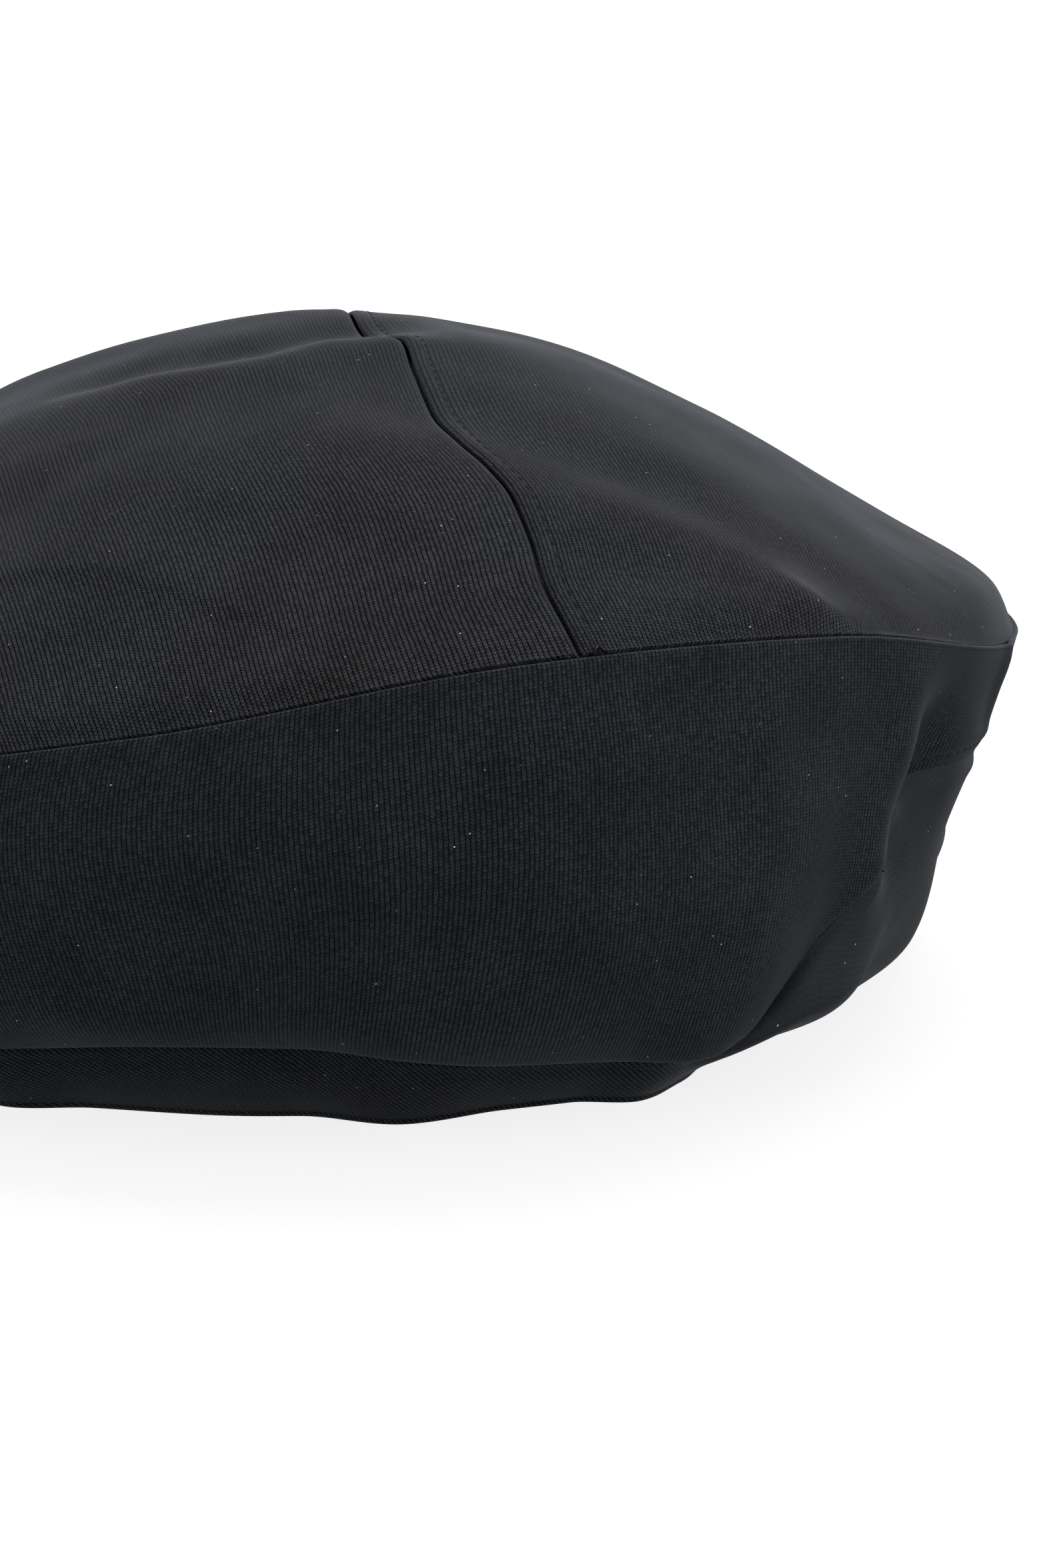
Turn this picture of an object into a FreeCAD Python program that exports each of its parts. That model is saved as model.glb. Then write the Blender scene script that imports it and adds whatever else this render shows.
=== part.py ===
import FreeCAD, Part
import math
import os

# A low, soft hat in black weft-knit jersey: two crown panels joined by one seam over the
# top, a deep side panel in a front and a back piece, and a bias-cut head band, with a
# lining, a ribbon sweatband, two rows of visible stitching and a blank label inside.
# Millimetres. Origin: the centre of the head opening on the table plane. +Z is up, -Y is
# the front, the crown seam runs parallel to Y. An angle phi starts at the front (-Y) and
# turns towards +X.

# ---- driving dimensions ----------------------------------------------------------------
CLOTH = 1.2                 # one layer of jersey
BAND_CLOTH = 2.6            # the head band, folded double
LINING = 0.5
RIBBON = 0.7
GAP = 0.15                  # air left between two pieces that touch
SEAM_X = 8.0                # plan line of the crown seam
APEX = (10.0, 4.0, 132.5)   # top of the crown
CROWN_LEFT = 2.1            # how the crown falls away: 1 is a cone, 2 a dome
CROWN_RIGHT = 1.68
JOIN_FRONT = 62.0           # the two side pieces meet here, to the right of the front,
JOIN_BACK = -118.0          # and here, straight across

# The rim, where the side panel meets the crown, every 30 degrees from the front.
RIM_HEIGHT = [91.5, 89.5, 75.3, 70.0, 69.0, 74.0, 80.0, 82.0, 78.0, 70.0, 68.0, 79.0]
RIM_RADIUS = [126.0, 127.0, 132.0, 135.0, 132.0, 128.0, 125.0, 126.0, 131.0, 134.0, 131.0, 126.0]

# The hem of the band on the table: (phi, radius). It waves where the band is slack.
HEM = [(-95, 105), (-70, 107.5), (-51, 107), (-42, 99.5), (-31, 95), (-19, 92.5), (-7, 98), (4, 95),
       (12, 96), (19, 102), (26, 98), (36, 90.5), (50, 95.5), (72, 104), (95, 106), (125, 98),
       (145, 93), (160, 90), (180, 92), (198, 88), (215, 91), (235, 98)]

# Height of the fold above the hem as a share of the rim height: (phi, share). The side
# panel sags low over the band in front and stands clear of it on the right.
FOLD = [(-95, 0.42), (-70, 0.30), (-48, 0.24), (-31, 0.26), (-18, 0.25), (-8, 0.215), (0, 0.185),
        (10, 0.165), (21, 0.145), (24.5, 0.17), (28, 0.255), (32, 0.373), (36, 0.436), (40, 0.512),
        (45, 0.68), (52, 0.74), (60, 0.757), (75, 0.69), (95, 0.56), (115, 0.38), (140, 0.25),
        (165, 0.22), (190, 0.27), (215, 0.31), (240, 0.34)]

# How far the side panel stands clear of the band: 0 sags over it, 1 stands clear.
CLEAR = [(-95, 0.35), (-60, 0.0), (22, 0.0), (28, 0.5), (32, 0.82), (36, 0.95), (40, 0.99), (44, 1.0),
         (80, 1.0), (100, 0.7), (125, 0.30), (150, 0.0), (210, 0.0), (240, 0.20)]

# Side section from the rim (s 0) over the fold (s 4) and the band seam (s 6) to the hem
# (s 10). The first number is the share of the overhang between hem and rim radius, the
# second the share of the height: fold to rim down to s 4, hem to fold below it. The
# middle table bends the way from one shape to the other.
SAGGING = [(1.0, 1.0), (1.04, 0.76), (1.00, 0.44), (0.86, 0.15), (0.64, 0.0), (0.49, 0.96),
           (0.37, 0.97), (0.32, 0.72), (0.24, 0.46), (0.12, 0.20), (0.0, 0.0)]
TURNING = [(1.0, 1.0), (0.97, 0.77), (0.96, 0.46), (0.85, 0.18), (0.67, 0.0), (0.55, 0.81),
           (0.42, 0.57), (0.58, 0.48), (0.56, 0.46), (0.20, 0.22), (0.03, 0.0)]
STANDING = [(1.0, 1.0), (0.98, 0.78), (0.92, 0.48), (0.88, 0.20), (0.86, 0.0), (0.85, 0.97),
            (0.84, 0.93), (0.80, 0.71), (0.73, 0.46), (0.46, 0.24), (0.05, 0.0)]
S_FOLD = 4
S_SEAM = 6
S_HEM = 10
SEAM_STEP = 0.05            # share of the section left between side panel and band
HEM_TRIM = 1.5              # the band is made this much deeper and trimmed flat at z 0
TINY = 1e-5
RIM_TRIES = 20              # steps allowed for finding the rim straight beyond a plan point


# ---- shape of the soft shell -----------------------------------------------------------
def cubic(a, b, c, d, t):
    """Catmull-Rom step from b to c."""
    return b + 0.5 * t * ((c - a) + t * (2 * a - 5 * b + 4 * c - d + t * (3 * (b - c) + d - a)))


def ring(values, phi):
    """Value at phi from evenly spaced stations around the hat."""
    count = len(values)
    place = phi / 360.0 * count
    i = math.floor(place)
    return cubic(*[values[(i + k) % count] for k in (-1, 0, 1, 2)], place - i)


def stations(table, phi):
    """Value at phi from uneven (angle, value) stations, smooth and without overshoot."""
    start = table[0][0]
    phi = (phi - start) % 360.0 + start
    count = len(table)
    i = max(k for k in range(count) if table[k][0] <= phi)
    angle = [table[(i + k) % count][0] + 360.0 * ((i + k) // count) for k in (-1, 0, 1, 2)]
    value = [table[(i + k) % count][1] for k in (-1, 0, 1, 2)]
    step = [(value[k + 1] - value[k]) / (angle[k + 1] - angle[k]) for k in range(3)]
    slope = [2 * p * q / (p + q) if p * q > 0 else 0.0 for p, q in zip(step[:2], step[1:])]
    span = angle[2] - angle[1]
    t = (phi - angle[1]) / span
    start_part = (1 + 2 * t) * (1 - t) ** 2 * value[1] + t * (1 - t) ** 2 * span * slope[0]
    return start_part + t * t * (3 - 2 * t) * value[2] + t * t * (t - 1) * span * slope[1]


def section(table, s, k):
    """Column k of a side section at s."""
    i = min(int(s), len(table) - 2)
    last = len(table) - 1
    return cubic(*[table[min(max(j, 0), last)][k] for j in (i - 1, i, i + 1, i + 2)], s - i)


def side_rz(phi, s):
    """Radius and height of the shell's outer face."""
    rim_z = ring(RIM_HEIGHT, phi)
    rim_r = ring(RIM_RADIUS, phi)
    hem_r = stations(HEM, phi)
    fold_z = rim_z * stations(FOLD, phi)
    clear = stations(CLEAR, phi)
    weights = ((1 - clear) ** 2, 2 * clear * (1 - clear), clear ** 2)
    out = 0.0
    z = 0.0
    for weight, table in zip(weights, (SAGGING, TURNING, STANDING)):
        heights = []
        for j, (share, up) in enumerate(table):
            if j <= S_FOLD:
                heights.append((share, fold_z + (rim_z - fold_z) * up))
            else:
                heights.append((share, -HEM_TRIM + (fold_z + HEM_TRIM) * up))
        out += weight * section(heights, s, 0)
        z += weight * section(heights, s, 1)
    return hem_r + (rim_r - hem_r) * out, z


def polar(phi, r, z):
    a = math.radians(phi)
    return FreeCAD.Vector(r * math.sin(a), -r * math.cos(a), z)


def side_point(phi, s):
    return polar(phi, *side_rz(phi, s))


def rim_at(x, y):
    """Distance from the apex to a plan point, on to the rim, and the rim's height there."""
    dx = x - APEX[0]
    dy = y - APEX[1]
    reach = math.hypot(dx, dy)
    if reach < TINY:
        return reach, RIM_RADIUS[0], RIM_HEIGHT[0]
    phi = math.degrees(math.atan2(x, -y))
    for _ in range(RIM_TRIES):
        r = ring(RIM_RADIUS, phi)
        a = math.radians(phi)
        px = r * math.sin(a) - APEX[0]
        py = -r * math.cos(a) - APEX[1]
        turn = math.degrees(math.atan2(px * dy - py * dx, px * dx + py * dy))
        phi += turn
        if abs(turn) < TINY:
            break
    return reach, math.hypot(px, py), ring(RIM_HEIGHT, phi)


def crown_z(x, y):
    reach, full, rim_z = rim_at(x, y)
    sideways = (x - APEX[0]) / max(reach, TINY)
    power = (CROWN_LEFT + CROWN_RIGHT + sideways * (CROWN_RIGHT - CROWN_LEFT)) / 2
    return rim_z + (APEX[2] - rim_z) * (1.0 - (reach / full) ** power)


# ---- solids ----------------------------------------------------------------------------
CROWN_STEP = 9.0            # spacing of the points each crown panel is laid through
SIDE_COLUMNS = 73           # points around and down that the other pieces are laid through
SIDE_ROWS = 17
RING_COLUMNS = 121
BAND_ROWS = 15
HANG_ROWS = 5
LABEL_COLUMNS = 9
SMOOTH_S = 0.4              # the inward direction is averaged over this much of the section
SMOOTH_PHI = 2.0            # and of the ring, so that it turns gently through the fold
CROWN_MARGIN = 4.0          # the panels are laid this much too wide, then cut to the rim
CROWN_INSET = 1.5           # the crown panels end this far inside the rim
OUTLINE_STEP = 10           # degrees between the points of that outline
CROWN_DEPTH = 1.44          # measured straight down through the sloping cloth
CROWN_LINING_DROP = 4.0
CROWN_LINING_INSET = 6.0
SIDE_LINING_INSET = 5.0     # at the rim and, from the band seam, at the bottom
SIDE_LINING_DROP = 2.5
SIDE_LINING_LAP = 2.0       # the lining hangs this far below the band seam
RIBBON_INSET = 4.2
RIBBON_LOW = 2.5
RIBBON_HIGH = 27.0
LABEL_HALF_PHI = 11.0
LABEL_LOW = 7.0
LABEL_HIGH = 23.0
THREAD_R = 0.22
STITCH = 2.2
STITCH_PITCH = 3.0
CROWN_STITCH_OFFSET = 3.6   # the top-stitched row lies this far to the right of the seam
CROWN_STITCH_END = 8.0      # and stops this far from the rim at both ends
BAND_STITCH_S = 5.72        # the stitched row just above the band seam
LAST_TURN = 1.0             # degrees kept free where that row closes


def span(low, high, count):
    return [low + (high - low) * k / (count - 1) for k in range(count)]


def loft_solid(outer, inner):
    """Closed solid between two matching grids of points."""
    faces = []
    sides = []
    for grid in (outer, inner):
        skin = Part.BSplineSurface()
        skin.interpolate(grid)
        u0, u1, v0, v1 = skin.bounds()
        faces.append(skin.toShape())
        sides.append([skin.uIso(u0), skin.uIso(u1), skin.vIso(v0), skin.vIso(v1)])
    for a, b in zip(*sides):
        faces.append(Part.makeRuledSurface(a.toShape(), b.toShape()))
    shell = Part.makeShell(faces)
    shell.sewShape()
    solid = Part.makeSolid(shell)
    if solid.Volume < 0:
        solid.reverse()
    return solid


def inward(phi, s):
    """Unit vector from the outer face of the shell into the cloth."""
    along = side_point(phi, s + SMOOTH_S) - side_point(phi, s - SMOOTH_S)
    around = side_point(phi + SMOOTH_PHI, s) - side_point(phi - SMOOTH_PHI, s)
    return around.cross(along).normalize()


def shell_strip(phi_low, phi_high, s_low, s_high, thickness, columns, rows):
    """Piece of the shell between two angles and two stations of the section."""
    outer = [[side_point(p, s) for s in span(s_low, s_high, rows)] for p in span(phi_low, phi_high, columns)]
    inner = [[side_point(p, s) + inward(p, s) * thickness for s in span(s_low, s_high, rows)]
             for p in span(phi_low, phi_high, columns)]
    return loft_solid(outer, inner)


def upright_strip(phi_low, phi_high, low, high, thickness, columns):
    """Piece of cloth hanging between two edges, each a function giving radius and height."""
    grids = []
    for inset in (0.0, thickness):
        grid = []
        for phi in span(phi_low, phi_high, columns):
            (r0, z0), (r1, z1) = low(phi), high(phi)
            grid.append([polar(phi, r0 + (r1 - r0) * k - inset, z0 + (z1 - z0) * k)
                         for k in span(0, 1, HANG_ROWS)])
        grids.append(grid)
    return loft_solid(*grids)


def crown_half(side, drop, inset, thickness):
    """Crown piece on one side of the crown seam: -1 left, +1 right."""
    reach = max(RIM_RADIUS) + CROWN_MARGIN
    near = SEAM_X + side * GAP / 2
    across = int(abs(side * reach - near) / CROWN_STEP) + 2
    along = int(2 * reach / CROWN_STEP) + 2
    skin = Part.BSplineSurface()
    skin.interpolate([[FreeCAD.Vector(x, y, crown_z(x, y) - drop) for y in span(-reach, reach, along)]
                      for x in span(near, side * reach, across)])
    slab = skin.toShape().extrude(FreeCAD.Vector(0, 0, -thickness))
    outline = Part.BSplineCurve()
    outline.interpolate([polar(phi, ring(RIM_RADIUS, phi) - inset, 0) for phi in range(0, 360, OUTLINE_STEP)],
                        PeriodicFlag=True)
    plan = Part.Face(Part.Wire(outline.toShape()))
    return slab.common(plan.extrude(FreeCAD.Vector(0, 0, 2 * APEX[2]))).Solids[0]


def stitch(start, end):
    run = end - start
    return Part.makeCylinder(THREAD_R, run.Length, start, run)


def crown_stitches():
    """Dashes lying on the right crown panel, beside the seam."""
    x = SEAM_X + CROWN_STITCH_OFFSET
    row = []
    y = -ring(RIM_RADIUS, 0) + CROWN_STITCH_END
    while y < ring(RIM_RADIUS, 180) - CROWN_STITCH_END:
        ends = [FreeCAD.Vector(x, q, crown_z(x, q) + THREAD_R + GAP) for q in (y, y + STITCH)]
        row.append(stitch(*ends))
        y += STITCH_PITCH
    return Part.makeCompound(row)


def band_stitches():
    """Dashes lying on the side panel just above the band seam."""
    row = []
    phi = -180.0
    while phi < 180.0 - LAST_TURN:
        r = side_rz(phi, BAND_STITCH_S)[0]
        turn = math.degrees(STITCH / r)
        if min(abs(phi + turn / 2 - join) for join in (JOIN_FRONT, JOIN_BACK)) > turn:
            ends = [side_point(q, BAND_STITCH_S) - inward(q, BAND_STITCH_S) * (THREAD_R + GAP)
                    for q in (phi, phi + turn)]
            row.append(stitch(*ends))
        phi += math.degrees(STITCH_PITCH / r)
    return Part.makeCompound(row)


def lining_low(phi):
    r, z = side_rz(phi, S_SEAM)
    return r - SIDE_LINING_INSET - BAND_CLOTH, z - SIDE_LINING_LAP


def lining_high(phi):
    return ring(RIM_RADIUS, phi) - SIDE_LINING_INSET, ring(RIM_HEIGHT, phi) - SIDE_LINING_DROP


def ribbon_edge(z, inset=0.0):
    return lambda phi: (stations(HEM, phi) - RIBBON_INSET - inset, z)


def head_band():
    """The doubled band, trimmed flat where it rests; its joint is at the back."""
    half_gap = math.degrees(GAP / 2 / stations(HEM, 180.0))
    band = shell_strip(-180.0 + half_gap, 180.0 - half_gap, S_SEAM + SEAM_STEP, S_HEM, BAND_CLOTH,
                       RING_COLUMNS, BAND_ROWS)
    reach = 2 * max(RIM_RADIUS)
    room = Part.makeBox(2 * reach, 2 * reach, reach, FreeCAD.Vector(-reach, -reach, 0))
    return band.common(room).Solids[0]


def build():
    """Every piece of the hat by name."""
    half_gap = math.degrees(GAP / 2 / max(RIM_RADIUS))
    halves = {"front": (JOIN_BACK + half_gap, JOIN_FRONT - half_gap),
              "back": (JOIN_FRONT + half_gap, JOIN_BACK + 360.0 - half_gap)}
    pieces = {}
    for name, side in (("left", -1), ("right", 1)):
        pieces["crown_panel_" + name] = crown_half(side, 0.0, CROWN_INSET, CROWN_DEPTH)
        pieces["crown_lining_" + name] = crown_half(side, CROWN_LINING_DROP, CROWN_LINING_INSET, LINING)
    for name, (low, high) in halves.items():
        pieces["side_panel_" + name] = shell_strip(low, high, 0.0, S_SEAM, CLOTH, SIDE_COLUMNS, SIDE_ROWS)
        pieces["side_lining_" + name] = upright_strip(low, high, lining_low, lining_high, LINING,
                                                     SIDE_COLUMNS)
    pieces["head_band"] = head_band()
    pieces["sweatband"] = upright_strip(-180.0 + half_gap, 180.0 - half_gap, ribbon_edge(RIBBON_LOW),
                                        ribbon_edge(RIBBON_HIGH), RIBBON, RING_COLUMNS)
    inner = RIBBON + GAP
    pieces["blank_label"] = upright_strip(180.0 - LABEL_HALF_PHI, 180.0 + LABEL_HALF_PHI,
                                          ribbon_edge(LABEL_LOW, inner), ribbon_edge(LABEL_HIGH, inner),
                                          LINING, LABEL_COLUMNS)
    pieces["crown_topstitch"] = crown_stitches()
    pieces["band_topstitch"] = band_stitches()
    return pieces


os.makedirs("parts", exist_ok=True)
for piece_name, shape in build().items():
    shape.exportStep("parts/" + piece_name + ".step")
    size = shape.BoundBox
    print(piece_name, "valid", shape.isValid(), "volume %.0f" % shape.Volume,
          "size %.1f x %.1f x %.1f" % (size.XLength, size.YLength, size.ZLength))
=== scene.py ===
import math

import bpy
import numpy as np
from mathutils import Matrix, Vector


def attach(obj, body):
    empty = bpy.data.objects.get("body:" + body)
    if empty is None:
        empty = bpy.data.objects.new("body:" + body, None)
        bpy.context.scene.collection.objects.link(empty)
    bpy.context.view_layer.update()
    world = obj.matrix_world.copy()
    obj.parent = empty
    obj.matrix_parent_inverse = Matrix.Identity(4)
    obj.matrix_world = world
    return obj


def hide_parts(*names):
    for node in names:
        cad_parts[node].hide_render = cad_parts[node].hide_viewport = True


# A low, soft hat in black weft-knit jersey. Its cloth pieces are built here as sewn
# panels with rolled edges, seam grooves and folds, each in the place of its CAD node.
# Lengths are in millimetres until a mesh is made. An angle phi is in degrees, starts at
# the front (-Y) and turns towards +X. A place s down the shell counts the stations of
# its section tables, from 0 at the rim to S_HEM at the hem.

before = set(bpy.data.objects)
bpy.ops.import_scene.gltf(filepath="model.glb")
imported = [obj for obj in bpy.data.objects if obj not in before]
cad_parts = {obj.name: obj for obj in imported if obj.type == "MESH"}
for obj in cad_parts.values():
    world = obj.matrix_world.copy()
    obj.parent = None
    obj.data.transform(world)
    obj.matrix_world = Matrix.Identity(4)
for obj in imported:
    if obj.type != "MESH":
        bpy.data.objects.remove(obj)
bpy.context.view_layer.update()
MM = 0.001

# ---- shape of the soft shell, as in the CAD part -------------------------------------
SEAM_MEAN = 8.0             # the crown seam runs along Y and wanders about this X
APEX = (10.0, 4.0, 132.0)
CROWN_LEFT, CROWN_RIGHT = 2.1, 1.68     # how full the crown is on each side, as powers
JOIN_PHI = (-118.0, 62.0)   # the two joints of the side panel
# Height and radius of the rim, evenly spaced around the hat.
RIM_HEIGHT = [91.5, 89.5, 75.3, 70.0, 69.0, 74.0, 80.0, 82.0, 78.0, 70.0, 68.0, 79.0]
RIM_RADIUS = [126.0, 127.0, 132.0, 135.0, 132.0, 128.0, 125.0, 126.0, 131.0, 134.0, 131.0, 126.0]
# Radius of the hem: (phi, radius).
HEM = [(-95, 105), (-70, 107.5), (-51, 107), (-42, 99.5), (-31, 95), (-19, 92.5), (-7, 98), (4, 95),
       (12, 96), (19, 102), (26, 98), (36, 90.5), (50, 95.5), (72, 104), (95, 106), (125, 98),
       (145, 93), (160, 90), (180, 92), (198, 88), (215, 91), (235, 98)]
# Height at which the side folds under: (phi, share of the rim's height).
FOLD = [(-95, 0.42), (-70, 0.30), (-48, 0.24), (-31, 0.26), (-18, 0.25), (-8, 0.215), (0, 0.185),
        (10, 0.165), (21, 0.145), (24.5, 0.17), (28, 0.255), (32, 0.373), (36, 0.436), (40, 0.512),
        (45, 0.68), (52, 0.74), (60, 0.757), (75, 0.69), (95, 0.56), (115, 0.38), (140, 0.25),
        (165, 0.22), (190, 0.27), (215, 0.31), (240, 0.34)]
# How the side hangs: (phi, 0 where it sags over the band to 1 where it stands up on it).
CLEAR = [(-95, 0.35), (-60, 0.0), (22, 0.0), (28, 0.5), (32, 0.82), (36, 0.95), (40, 0.99), (44, 1.0),
         (80, 1.0), (100, 0.7), (125, 0.30), (150, 0.0), (210, 0.0), (240, 0.20)]
# Sections for CLEAR at 0, between and at 1. Stations run from the rim to the fold and on
# to the hem: (share of the way out from the hem to the rim, share of the way up).
SAGGING = [(1.0, 1.0), (1.04, 0.76), (1.00, 0.44), (0.86, 0.15), (0.64, 0.0), (0.49, 0.96),
           (0.37, 0.97), (0.32, 0.72), (0.24, 0.46), (0.12, 0.20), (0.0, 0.0)]
TURNING = [(1.0, 1.0), (0.97, 0.77), (0.96, 0.46), (0.85, 0.18), (0.67, 0.0), (0.55, 0.81),
           (0.42, 0.57), (0.58, 0.48), (0.56, 0.46), (0.20, 0.22), (0.03, 0.0)]
STANDING = [(1.0, 1.0), (0.98, 0.78), (0.92, 0.48), (0.88, 0.20), (0.86, 0.0), (0.85, 0.97),
            (0.84, 0.93), (0.80, 0.71), (0.73, 0.46), (0.46, 0.24), (0.05, 0.0)]
S_FOLD = 4                  # place of the fold, of the band's seam and of the hem
S_SEAM = 6
S_HEM = 10

# ---- thickness and edges of the cloth ------------------------------------------------
CLOTH = 0.9                 # one layer of jersey
BAND_CLOTH = 0.8
LINING = 0.35
RIBBON = 0.6
LABEL = 0.4
WALE = 0.86                 # knit column spacing
COURSE = 0.62               # knit row spacing
EDGE_ROLL = 0.5             # radius that cut edges curl in with
LIP = 0.6                   # radius of the side panel's rolled top edge
LIP_DROP = 0.8              # its top lies this far below the rim,
LIP_RISE = (78.0, 30.0, 0.85)   # but less here: phi, half width, share of the drop lost
CROWN_ROLL = 0.6
CROWN_INSET = 1.7           # the crown's edge lies this far inside the rim
CROWN_SINK = 0.25           # and this far below it,
EDGE_REACH = 1.7            # and the crown bends down to it over this distance
HEM_ROLL = 1.35             # half the thickness of the doubled band at its fold
HEM_LIFT = (47.0, 9.0, 2.0)     # the hem is off the table here: phi, half width, height
JOIN_GAP = 0.4              # degrees from a joint to the edge of each side panel
LINING_JOIN_GAP = 0.1
RING_ENDS = (-179.9, 179.9)     # phi of the two ends of a ring that meet at the back

# ---- seams and stitches --------------------------------------------------------------
# The crown seam wanders a little: (y, x).
SEAM = [(-128, 13.2), (-118, 11.4), (-108, 10.2), (-98, 10.8), (-87, 10.6), (-77, 8.8), (-67, 6.0),
        (-54, 4.2), (-34, 5.2), (-20, 6.4), (-12, 3.4), (0, 2.4), (20, 4.5), (60, 8.0), (128, 9.5)]
SEAM_ROLL = 0.45
SEAM_GAP = 0.13             # from the middle of the crown seam to each rolled edge
SEAM_GRAIN = 30.0           # the knit follows the seam's wander over this distance
CROWN_PULL = (0.60, 0.9)    # a seam draws the cloth in: depth, distance
BAND_PULL = (0.5, 1.2)
CROWN_PUFF = (0.14, -2.6, 2.0)  # and it puffs out beside the seam: height, place, half width
SIDE_PUFF = (0.25, 4.2, 1.8)
BAND_PUFF = (0.3, 3.0, 1.6)
ALLOWANCE = (0.8, 3.9)      # the crown's seam allowance lies under the cloth here
ALLOWANCE_LIFT = 0.16
STITCH_PITCH = 3.0
STITCH_UP = 1.9             # the band's stitched row lies this far above its seam
STITCH_DIMPLE = (0.38, 0.6)     # depth and half width of that row's dimples
CROWN_STITCH_OFF = 3.7      # the crown's row lies this far to the right of its seam
CROWN_ROW = (-118.0, 114.0)     # and runs between these two places along Y
CROWN_STITCH = 2.0          # length of a stitch
BAND_STITCH = 0.32          # half the length of a stitch, as a share of the pitch
JOIN_MARGIN = 4.0           # the band's row stops this far from the joints
THREAD_RADIUS = 0.2
THREAD_ARCH = 0.24
THREAD_SUNK = 0.20          # the ends of a stitch lie this far under the surface

# ---- lining, ribbon and label --------------------------------------------------------
LINING_INSET = 7.0          # the crown lining stops this far inside the rim
LINING_DROP = 5.0           # and hangs this far under the crown
LINING_SHIFT = 1.5          # its seam runs this far to the right of the crown's
LINING_GAP = 0.03
LINING_REACH = 12.0         # distance from the seam over which it shifts
LINING_FOOT = (7.6, 1.0)    # the side lining starts this far inside and above the band's seam
LINING_HEAD = (0.6, 6.0)    # and ends this far outside the crown lining and below the rim
RIBBON_INSET = 3.5          # the sweatband lies this far inside the hem
RIBBON_EDGES = (1.0, 26.0)  # heights of its two edges
LABEL_INSET = 0.9           # the label lies this far inside the sweatband
LABEL_EDGES = (6.0, 22.0)
LABEL_PHI = (170.0, 190.0)

# ---- where the knit's grain is laid out ----------------------------------------------
SIDE_R = 128.0              # radii that the side's and the band's grain is laid out on
BAND_R = 105.0
BIAS = 0.7071               # the band is cut at 45 degrees to the knit
CROWN_SLOPE = 1.12          # length of the crown's slope along Y to its length in plan
SIDE_DRIFT = (1.3, 75.0, 21)    # the side's grain wanders: amount, wavelength, seed

# ---- folds and waves -----------------------------------------------------------------
# Slack waves of the cloth: height, wavelength, seed.
CROWN_WAVES = [(0.5, 85.0, 3), (0.22, 34.0, 4)]
SIDE_WAVES = [(0.55, 60.0, 11), (0.18, 22.0, 12)]
WAVES_FROM = (6.0, 14.0)    # the side's waves set in this far below the rim, over this distance
LINING_WAVES = (0.5, 16.0, 31)
HANGING_WAVES = (15.0, 41)  # wavelength and seed; each cloth has its own height
FOLD_FADE = 0.25            # share of a crown fold's length over which each end fades,
FOLD_END = 0.12             # down to this share of its height

# Folds of the crown in plan: points, height, width on the left of the line and on its right.
CROWN_FOLDS = [
    ([(-56, -12), (-41, -13), (-30, -19), (-19, -22), (-7, -18), (6, -21), (22, -24)], 0.7, 6.0, 9.0),
    ([(-66, 8), (-41, 2), (-30, -4), (-19, -7), (-7, -4), (6, -7), (22, -9)], -2.8, 10.0, 7.5),
    ([(-78, 54), (-50, 43), (-25, 31), (0, 20), (16, 13)], 2.2, 14.0, 11.0),
    ([(14, 14), (30, 6), (50, -4), (72, -14)], -1.7, 14.0, 12.0),
    ([(-16, -50), (-8, -62), (2, -76), (13, -87), (23, -88), (36, -93), (50, -97), (62, -106)],
     0.65, 8.0, 10.0),
    ([(-8, -46), (5, -54), (17, -66), (29, -74), (42, -80), (56, -88)], -1.0, 11.0, 8.0),
    ([(52, -97), (60, -104), (71, -113), (84, -122)], 1.3, 4.5, 6.5),
    ([(58, -84), (70, -94), (84, -102)], -1.2, 9.0, 9.0),
    ([(20, -116), (31, -112), (40, -110), (47, -109), (54, -110)], 0.3, 4.0, 4.0),
    ([(14, -106), (28, -103), (42, -102)], -0.2, 5.0, 5.0),
    ([(-84, -20), (-71, -24), (-59, -30), (-46, -32), (-32, -34)], 0.3, 5.0, 7.0),
    ([(-78, -42), (-62, -39), (-50, -36), (-38, -30)], -0.4, 6.0, 5.0),
    ([(-92, -52), (-77, -59), (-63, -71), (-52, -83), (-45, -92), (-34, -104), (-24, -112)],
     0.6, 7.0, 1.5),
    ([(85, -92), (104, -73), (117.5, -52), (126, -27), (130, 0), (124, 33), (110, 62)],
     3.4, 14.0, 6.0),
    ([(-20, 60), (-52, 78), (-82, 84)], 1.6, 9.0, 14.0),
    ([(24, 50), (58, 72), (84, 82)], 1.5, 8.0, 13.0),
]

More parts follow.
